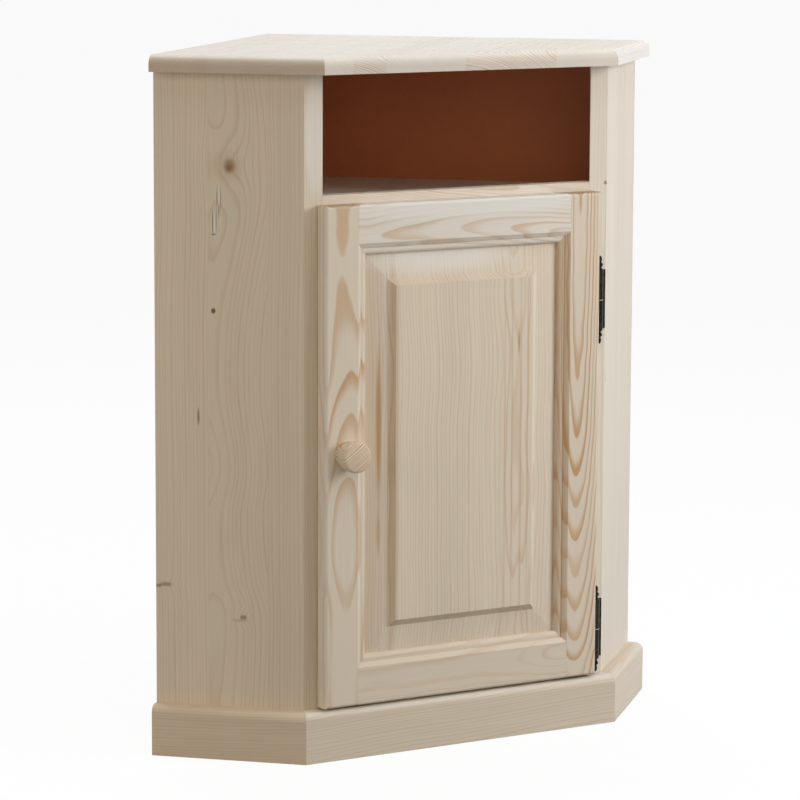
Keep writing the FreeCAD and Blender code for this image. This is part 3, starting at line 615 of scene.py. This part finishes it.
# Partly painted shade: a dark orange stripe down the inner moulding, part resin streak and part the shade in
# its recess.
RIGHT_STILE_MARKS = (Mark(0, -23, 330, 7, RESIN_AND_PAINTED_SHADE, 0.4, 0.5),)
TOP_RAIL_PITH = (
    (-139, 9, 16), (-118, 7.8, 14.8), (-62, 5, 12.3), (-11, 3.3, 9.8), (30, 4.5, 7.3), (69, 6.9, 4.8),
    (120, 13.6, -0.2), (150, 18, -3),
)
TOP_RAIL_MARKS = (Mark(0, -24, 200, 15, PALE_WOOD_AND_PAINTED_LIGHT, 0.8, 0.5),)
BOTTOM_RAIL_PITH = (
    (-139, 2, 16), (0, 0, 16), (40, -2, 14), (82, -2, 10.7), (111, -3, 3.7), (139, -4, -2),
)
PANEL_PITH = (
    (-240, 78, 34), (-100, 76, 32), (60, 77, 30), (126, 77, 29), (180, 76, 30), (240, 74, 32),
)
PANEL_STAVES = (
    Stave(-160, -245, -12, bend=1.0, tone=0.97, seed=2.3),
    Stave(-113, 0, 0, bend=1.0, seed=7.1),
)
PANEL_MARKS = (
    # Partly painted shade: the whole left bevel darkened and warmed, part its wood and part the shade on that
    # left-facing slope.
    Mark(0, -138, 300, 24, LATE_WOOD_AND_PAINTED_SHADE, 0.22, 0.3),
    Mark(42, -117.5, 78, 3.6, RESIN_AND_PAINTED_SHADE, 0.85, 0.6),
    # Partly painted shade: darker orange along the field's left shoulder, part wood colour and part the shade
    # on that left-facing slope.
    Mark(0, -99, 300, 5.5, RESIN_AND_PAINTED_SHADE, 0.35, 0.4),
    Mark(-96, -117.5, 24, 2.5, RESIN_AND_PAINTED_SHADE, 0.5, 0.6),
    Mark(236, -30, 18, 90, PALE_WOOD_AND_PAINTED_LIGHT, 0.6, 0.5),
    Mark(126, 78, 14, 1.5, RESIN_AND_PAINTED_SHADE, 0.7, 0.6),
    Mark(-20, 58, 230, 1.3, LATE_WOOD_AND_PAINTED_SHADE, 0.4, 0.7),
    Mark(20, 68.5, 230, 1.1, LATE_WOOD_AND_PAINTED_SHADE, 0.45, 0.7),
    Mark(-40, 81, 230, 1.4, LATE_WOOD_AND_PAINTED_SHADE, 0.5, 0.7),
    Mark(10, 91, 230, 1.2, LATE_WOOD_AND_PAINTED_SHADE, 0.45, 0.7),
)
KNOB_PITH = ((0, -170, 240),)
KNOB_MARKS = (Mark(3, 13, 9, 12, EARLY_WOOD, 0.7, 0.4),)

DOOR_BOARDS = {
    "door_left_stile": Board(
        Z_AXIS, FRONT_OUT, LEFT_STILE_PITH, ring=8, contrast=0.9, late_share=0.45, sway=0.4, sway_length=60,
        warp=0.12, uneven=0, seed=31, marks=LEFT_STILE_MARKS),
    "door_right_stile": Board(
        Z_AXIS, FRONT_OUT, RIGHT_STILE_PITH, ring=6.4, contrast=1.1, late_share=0.5, sway=0.5, sway_length=50,
        warp=0.15, uneven=0.2, pinch=1.7, seed=34, marks=RIGHT_STILE_MARKS),
    "door_top_rail": Board(
        X_AXIS, FRONT_OUT, TOP_RAIL_PITH, ring=5, contrast=0.6, late_share=0.5, sway=0.4, sway_length=60,
        warp=0.15, uneven=0.1, pale=0.5, seed=37, marks=TOP_RAIL_MARKS),
    "door_bottom_rail": Board(
        X_AXIS, FRONT_OUT, BOTTOM_RAIL_PITH, ring=7, contrast=0.32, sway=0.7, sway_length=60, seed=39),
    "door_panel": Board(
        Z_AXIS, FRONT_OUT, PANEL_PITH, ring=4.2, contrast=0.42, sway=2.5, sway_length=160, warp=0.9, seed=43,
        staves=PANEL_STAVES, marks=PANEL_MARKS),
    "door_knob": Board(
        FRONT_OUT, Z_AXIS, KNOB_PITH, ring=2.6, contrast=1.7, late_share=0.55, sway=0, warp=0.1,
        end_share=0.0, seed=47, marks=KNOB_MARKS),
}
BOARDS.update(DOOR_BOARDS)

for name, board in BOARDS.items():
    dress([name], pine(name, board))


# Hardboard

# Painted light: the smooth inner face's colours are lighter than the board's own, to stand in for light that
# the dim niche does not get.
SMOOTH_FACE = ((0.55, 0.178, 0.074), (0.65, 0.22, 0.092))
ROUGH_FACE = ((0.25, 0.145, 0.085), (0.34, 0.2, 0.12))
OUTER_FACING = (0.4, 0.6)
FELT_SCALE = 420.0
FELT_SHARES = (0.0, 0.6)
CLOUD_SCALE = 9.0
CLOUD_SHARES = (0.0, 0.4)
SCREEN_PITCH = 2.4 * MM
SCREEN_SHADE = 0.3
SCREEN_RELIEF_SHARE = 0.8
SMOOTH_ROUGHNESS = (0.42, 0.6)
OUTER_ROUGHNESS = 0.25
HARDBOARD_RELIEF = 0.15 * MM


def hardboard():
    """Pressed brown fibre board: smooth and reddish inside, painted lighter there for the dim niche, with the
    press screen's dull print outside.
    """
    graph = new_material("hardboard")
    coordinates = graph.node("ShaderNodeTexCoord").outputs
    place, facing = coordinates["Object"], coordinates["Normal"]
    felt = graph.noise(place, FELT_SCALE, detail=4.0, roughness=0.65)
    cloud = graph.noise(place, CLOUD_SCALE, detail=3.0)
    outer = graph.spread(graph.dot(facing, Y_AXIS), *OUTER_FACING)
    turns = 2 * math.pi / SCREEN_PITCH
    threads = [graph.math("SINE", graph.dot(place, axis * turns)) for axis in (X_AXIS / ROOT_HALF, Z_AXIS)]
    screen = graph.product(*threads, outer)
    felt_share = graph.spread(felt, *NOISE_MIDDLE, *FELT_SHARES)
    cloud_share = graph.spread(cloud, *NOISE_MIDDLE, *CLOUD_SHARES)
    share = graph.math("MULTIPLY_ADD", screen, SCREEN_SHADE, graph.math("ADD", felt_share, cloud_share))
    smooth, rough = [graph.mix(share, *face) for face in (SMOOTH_FACE, ROUGH_FACE)]
    colour = graph.mix(outer, smooth, rough)
    roughness = graph.spread(felt, *NOISE_MIDDLE, *SMOOTH_ROUGHNESS)
    roughness = graph.math("MULTIPLY_ADD", outer, OUTER_ROUGHNESS, roughness)
    height = graph.math("MULTIPLY_ADD", screen, SCREEN_RELIEF_SHARE, felt)
    return graph.finish(colour, roughness, height, HARDBOARD_RELIEF, Specular_IOR_Level=0.35)


dress(pieces_of("hardboard"), hardboard())


# Metals

METAL_WEAR = 0.5 * MM
METAL_WEAR_SHARES = (0.2, 0.8)
METAL_RELIEF = 0.04 * MM
GRIT_ROUGHNESS = 0.08
GRIT_PER_BLOTCH = 12


class Metal(NamedTuple):
    """A metal's colours where it is clean, blotched and rubbed, its roughness and its blotches per metre."""

    clean: tuple
    blotched: tuple
    rubbed: tuple
    roughness: float
    blotches: float


METALS = {
    "dark_metal": Metal(
        (0.04, 0.034, 0.024), (0.018, 0.015, 0.011), (0.14, 0.12, 0.09), roughness=0.36, blotches=160.0),
    "zinc_steel": Metal(
        (0.54, 0.53, 0.5), (0.42, 0.41, 0.39), (0.66, 0.65, 0.62), roughness=0.34, blotches=220.0),
    "magnet": Metal(
        (0.2, 0.2, 0.21), (0.13, 0.13, 0.14), (0.26, 0.26, 0.27), roughness=0.5, blotches=260.0),
}


def metal_material(name, metal):
    """Metal with faint blotches, fine grit and rubbed edges."""
    graph = new_material(name)
    place = graph.node("ShaderNodeTexCoord").outputs["Object"]
    blotch = graph.noise(place, metal.blotches, detail=3.0)
    grit = graph.noise(place, metal.blotches * GRIT_PER_BLOTCH)
    colour = graph.mix(graph.spread(blotch, *NOISE_NARROW), metal.blotched, metal.clean)
    wear = graph.product(
        graph.worn_edge(METAL_WEAR), graph.spread(grit, *NOISE_NARROW, *METAL_WEAR_SHARES))
    colour = graph.mix(wear, colour, metal.rubbed)
    smoothest, roughest = metal.roughness - GRIT_ROUGHNESS, metal.roughness + GRIT_ROUGHNESS
    roughness = graph.spread(grit, *NOISE_MIDDLE, smoothest, roughest)
    return graph.finish(colour, roughness, grit, METAL_RELIEF, Metallic=1.0)


for slot, metal in METALS.items():
    dress(pieces_of(slot), metal_material(slot, metal))


# Plastic

PLASTIC_SHADES = ((0.74, 0.72, 0.66), (0.8, 0.78, 0.73))
PLASTIC_ROUGHNESS = 0.45
PLASTIC_GRAIN_SCALE = 1500.0
PLASTIC_RELIEF = 0.05 * MM


def plastic():
    """Moulded cream plastic with a faint spark texture."""
    graph = new_material("catch_plastic")
    place = graph.node("ShaderNodeTexCoord").outputs["Object"]
    grain = graph.noise(place, PLASTIC_GRAIN_SCALE)
    colour = graph.mix(graph.spread(grain, *NOISE_MIDDLE), *PLASTIC_SHADES)
    return graph.finish(colour, PLASTIC_ROUGHNESS, grain, PLASTIC_RELIEF)


dress(pieces_of("catch_plastic"), plastic())


# Eased edges on the sawn boards

BOARD_EASE = 1.2 * MM
CLEAT_EASE = 0.5 * MM
WELD_REACH = 0.01 * MM
EASE_SEGMENTS = 3
EASE_ANGLE = math.radians(35)
EASED_BOARDS = (
    "left_side_panel", "right_side_panel", "niche_rail", "niche_shelf", "inner_shelf", "bottom_board",
    "plinth_front", "plinth_left", "plinth_right", "back_corner_post",
)


def ease(name, width):
    """Weld a piece's faces together and round its sharp edges off."""
    modifiers = nodes[name].modifiers
    weld = modifiers.new("Weld", "WELD")
    weld.merge_threshold = WELD_REACH
    bevel = modifiers.new("Ease", "BEVEL")
    bevel.width = width
    bevel.segments = EASE_SEGMENTS
    bevel.limit_method = "ANGLE"
    bevel.angle_limit = EASE_ANGLE
    bevel.harden_normals = True


for name in EASED_BOARDS:
    ease(name, BOARD_EASE)
for name in cleats:
    ease(name, CLEAT_EASE)


# Floor and room

FLOOR_REACH = 30.0
FLOOR_CORNERS = ((-1, -1), (1, -1), (1, 1), (-1, 1))
FLOOR_AS_LIT = (0.25, 0.25, 0.25)
FLOOR_AS_SEEN = (1.0, 1.0, 1.0)
FLOOR_GLOW_SHARE = 0.94
AMBIENT_COLOUR = (1.0, 0.96, 0.88)
AMBIENT_LEVEL = 0.15
BACKDROP_COLOUR = (0.8, 0.8, 0.8)
BACKDROP_LEVEL = 1.0


def seen_directly(graph):
    """One for rays from the camera or off a shiny or clear surface, zero for light on matt surfaces."""
    paths = graph.node("ShaderNodeLightPath").outputs
    shiny = graph.math("MAXIMUM", paths["Is Glossy Ray"], paths["Is Transmission Ray"])
    return graph.math("MAXIMUM", paths["Is Camera Ray"], shiny)


def floor_material():
    """Pale matt floor, shown near white with a faint shadow left on it."""
    graph = new_material("floor")
    seen = seen_directly(graph)
    matt = graph.node("ShaderNodeBsdfDiffuse")
    graph.feed(matt.inputs["Color"], graph.mix(seen, FLOOR_AS_LIT, FLOOR_AS_SEEN))
    white = graph.node("ShaderNodeEmission")
    glow = graph.product(seen, FLOOR_GLOW_SHARE)
    graph.show(graph.blend(glow, matt.outputs[0], white.outputs[0]))
    return graph.owner


def lay_floor():
    """Square floor at the level that the cupboard stands on."""
    mesh = bpy.data.meshes.new("floor")
    corners = [(x * FLOOR_REACH, y * FLOOR_REACH, 0) for x, y in FLOOR_CORNERS]
    mesh.from_pydata(corners, [], [range(len(corners))])
    mesh.materials.append(floor_material())
    floor = bpy.data.objects.new("floor", mesh)
    bpy.context.scene.collection.objects.link(floor)


def background(graph, colour, level):
    """A world's background shader."""
    made = graph.node("ShaderNodeBackground")
    made.inputs["Color"].default_value = (*colour, 1)
    made.inputs["Strength"].default_value = level
    return made.outputs[0]


def light_room():
    """Weak warm light from all round, with a pale backdrop where the room itself is seen."""
    world = bpy.data.worlds.new("studio")
    bpy.context.scene.world = world
    graph = Graph(world)
    ambient = background(graph, AMBIENT_COLOUR, AMBIENT_LEVEL)
    backdrop = background(graph, BACKDROP_COLOUR, BACKDROP_LEVEL)
    graph.show(graph.blend(seen_directly(graph), ambient, backdrop), "ShaderNodeOutputWorld")


lay_floor()
light_room()


# Lamps

class Lamp(NamedTuple):
    """A square lamp, unseen in reflections, whose level is its share of full light on a surface facing it.

    Azimuth 0 is straight in front and positive to the right; angles are degrees, lengths metres."""

    azimuth: float
    elevation: float
    distance: float
    size: float
    level: float
    colour: tuple


AIM = Vector((0, -0.1, 0.45))
WARM = (1.0, 0.92, 0.78)
LAMPS = {
    "key": Lamp(azimuth=50, elevation=21, distance=2.6, size=1.2, level=0.63, colour=(0.94, 1.0, 1.09)),
    "side_fill": Lamp(azimuth=-85, elevation=15, distance=4.0, size=2.0, level=0.23, colour=WARM),
    "front_fill": Lamp(azimuth=-20, elevation=17, distance=4.0, size=2.6, level=0.16, colour=WARM),
    "above": Lamp(azimuth=5, elevation=60, distance=3.0, size=1.6, level=0.18, colour=(0.98, 1.0, 1.03)),
    "back": Lamp(azimuth=172, elevation=62, distance=3.5, size=2.0, level=0.5, colour=(0.98, 1.0, 1.04)),
}


def heading(azimuth, elevation):
    """Direction from the aim toward a lamp."""
    side, rise = math.radians(azimuth), math.radians(elevation)
    return Vector((math.sin(side) * math.cos(rise), -math.cos(side) * math.cos(rise), math.sin(rise)))


def hang(name, lamp):
    """Set a lamp up so that it points at the aim."""
    light = bpy.data.lights.new(name, "AREA")
    light.shape = "SQUARE"
    light.size = lamp.size
    light.energy = lamp.level * math.pi ** 2 * lamp.distance ** 2
    light.color = lamp.colour
    toward = heading(lamp.azimuth, lamp.elevation)
    item = bpy.data.objects.new(name, light)
    item.visible_glossy = False
    item.location = AIM + lamp.distance * toward
    item.rotation_euler = (-toward).to_track_quat("-Z", "Y").to_euler()
    bpy.context.scene.collection.objects.link(item)


for name, lamp in LAMPS.items():
    hang(name, lamp)


# Camera at the photograph's viewpoint

LENS_PIXELS = 3754.0
IMAGE_PIXELS = 800.0
SENSOR_WIDTH = 36.0
CLIP_END = 100.0
CAMERA_PLACE = Vector((-2.4023, -4.0688, 1.1065))
YAW, PITCH, ROLL = math.radians(31.05), math.radians(8.53), math.radians(0.23)


def camera_turn():
    """Rotation of a camera that looks to the right by the yaw and down by the pitch, and then rolls."""
    forward = Vector((math.sin(YAW) * math.cos(PITCH), math.cos(YAW) * math.cos(PITCH), -math.sin(PITCH)))
    level_right = Vector((math.cos(YAW), -math.sin(YAW), 0))
    level_up = level_right.cross(forward)
    right = level_right * math.cos(ROLL) + level_up * math.sin(ROLL)
    up = level_up * math.cos(ROLL) - level_right * math.sin(ROLL)
    return Matrix((right, up, -forward)).transposed()


camera = bpy.data.cameras.new("camera")
camera.sensor_width = SENSOR_WIDTH
camera.lens = SENSOR_WIDTH * LENS_PIXELS / IMAGE_PIXELS
camera.clip_end = CLIP_END
viewer = bpy.data.objects.new("camera", camera)
viewer.matrix_world = Matrix.Translation(CAMERA_PLACE) @ camera_turn().to_4x4()
bpy.context.scene.collection.objects.link(viewer)
bpy.context.scene.camera = viewer

bpy.context.scene.view_settings.view_transform = "Standard"
